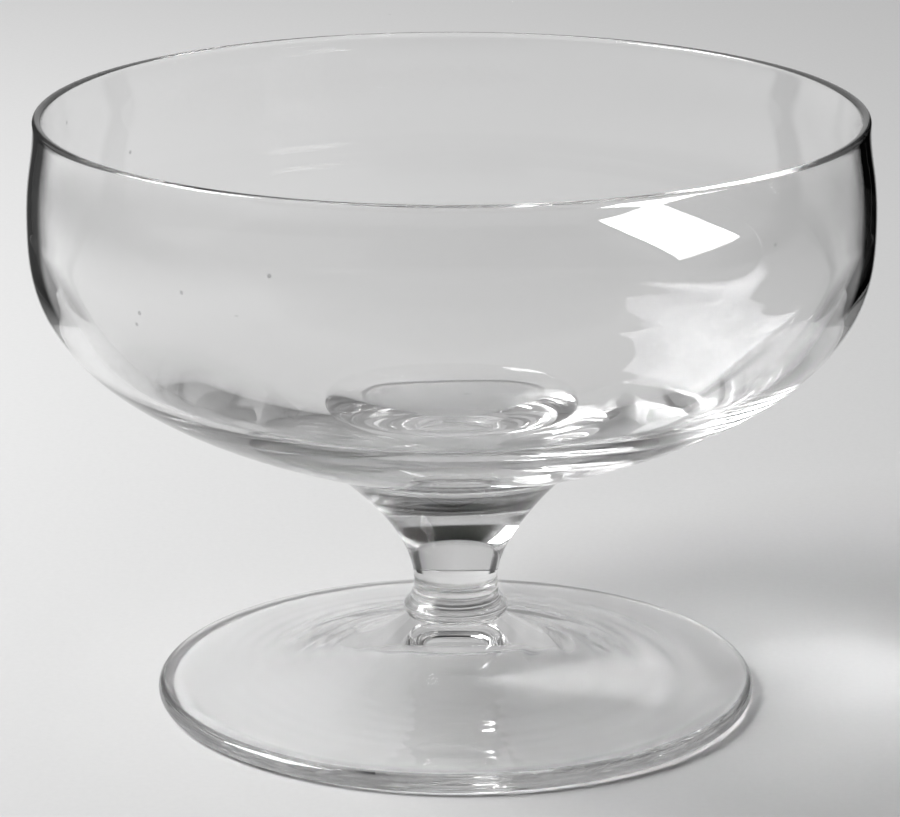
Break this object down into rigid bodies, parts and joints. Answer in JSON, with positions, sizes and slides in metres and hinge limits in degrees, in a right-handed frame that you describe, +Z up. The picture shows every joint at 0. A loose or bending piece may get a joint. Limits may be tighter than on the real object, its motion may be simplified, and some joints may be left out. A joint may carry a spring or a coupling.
{
  "type": "sherbet glass",
  "caption": "Low stemmed dessert glass: a wide round bowl with a thin lip on a short waisted stem and a flat round foot, in clear glass.",
  "frame": {"origin": "middle of the foot, on the surface that the glass stands on", "axes": "+Z up along the axis that all three pieces are turned about; X and Y are alike"},
  "size_m": [0.102, 0.102, 0.0732],
  "materials": {
    "bowl_glass": "clear blown glass, fire-polished",
    "stem_glass": "clear drawn glass, fire-polished",
    "foot_glass": "clear cast glass, fire-polished"
  },
  "bodies": {
    "root": {"bowl": "bowl_glass", "stem": "stem_glass", "foot": "foot_glass"}
  },
  "joints": []
}
